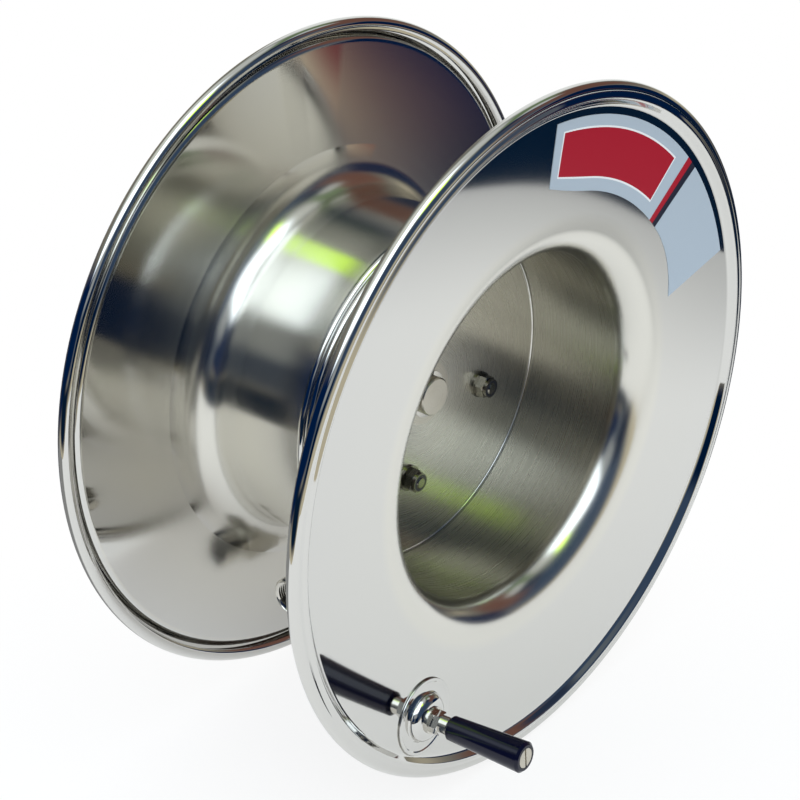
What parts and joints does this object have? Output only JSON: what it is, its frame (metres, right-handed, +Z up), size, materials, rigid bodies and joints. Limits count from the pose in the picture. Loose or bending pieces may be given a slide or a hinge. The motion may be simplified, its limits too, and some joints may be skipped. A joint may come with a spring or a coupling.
{
  "type": "fire hose reel",
  "caption": "Spun stainless steel fire hose reel drum with rolled-edge flanges, turning on a hollow wall spindle, with a fixed crank handle and free-turning grip.",
  "frame": {"origin": "centre of the wall flange's rear face, on the drum's axis", "axes": "+Z up, +Y along the drum's axis into the wall, -Y towards the handle side, +X to the right seen from the handle side"},
  "size_m": [0.56, 0.3554, 0.56],
  "materials": {
    "stainless_polished": "spun stainless steel, mirror polished",
    "stainless_brushed": "spun stainless steel, brushed round the axis",
    "stainless_satin": "turned stainless steel, satin",
    "stainless_bright": "bright stainless steel fasteners and pipe fittings",
    "gunmetal": "cast and machined gunmetal",
    "seal_rubber": "matt black nitrile rubber",
    "nylon": "dark nylon",
    "grip_plastic": "glossy black moulded plastic",
    "plate_film": "printed film, bare pale ground with plain coloured bands"
  },
  "bodies": {
    "wall_mount": {"wall_flange": "stainless_satin", "spindle": "stainless_polished", "thrust_washer": "gunmetal", "seal_rings": "seal_rubber", "circlip": "stainless_bright"},
    "drum": {"front_flange": "stainless_polished", "rear_flange": "stainless_brushed", "web_plate": "stainless_brushed", "joint_band": "stainless_polished", "hub": "gunmetal", "front_bush": "gunmetal", "rear_bush": "gunmetal", "retaining_washer": "stainless_satin", "hub_bolts": "stainless_bright", "hub_washers": "stainless_bright", "hub_nuts": "stainless_bright", "nut_inserts": "nylon", "outlet_pipe": "stainless_bright", "bulkhead_nut": "stainless_bright", "barrel_seals": "seal_rubber", "outlet_elbow": "stainless_bright", "outlet_nipple": "stainless_bright", "nameplate": "plate_film", "handle_boss": "stainless_polished", "handle_washer": "stainless_bright", "handle_nut": "stainless_bright", "handle_collar": "stainless_bright", "handle_screw": "stainless_satin", "backing_washer": "stainless_bright", "backing_nut": "stainless_bright"},
    "grip": {"handle_grip": "grip_plastic"}
  },
  "joints": [
    {"name": "drum_spin", "type": "hinge", "parent": "wall_mount", "child": "drum", "pos_m": [0, -0.145, 0], "axis": [0, -1, 0], "continuous": true},
    {"name": "grip_spin", "type": "hinge", "parent": "drum", "child": "grip", "pos_m": [-0.13512, -0.2594, -0.18736], "axis": [0.051, -0.9962, 0.0707], "continuous": true}
  ]
}
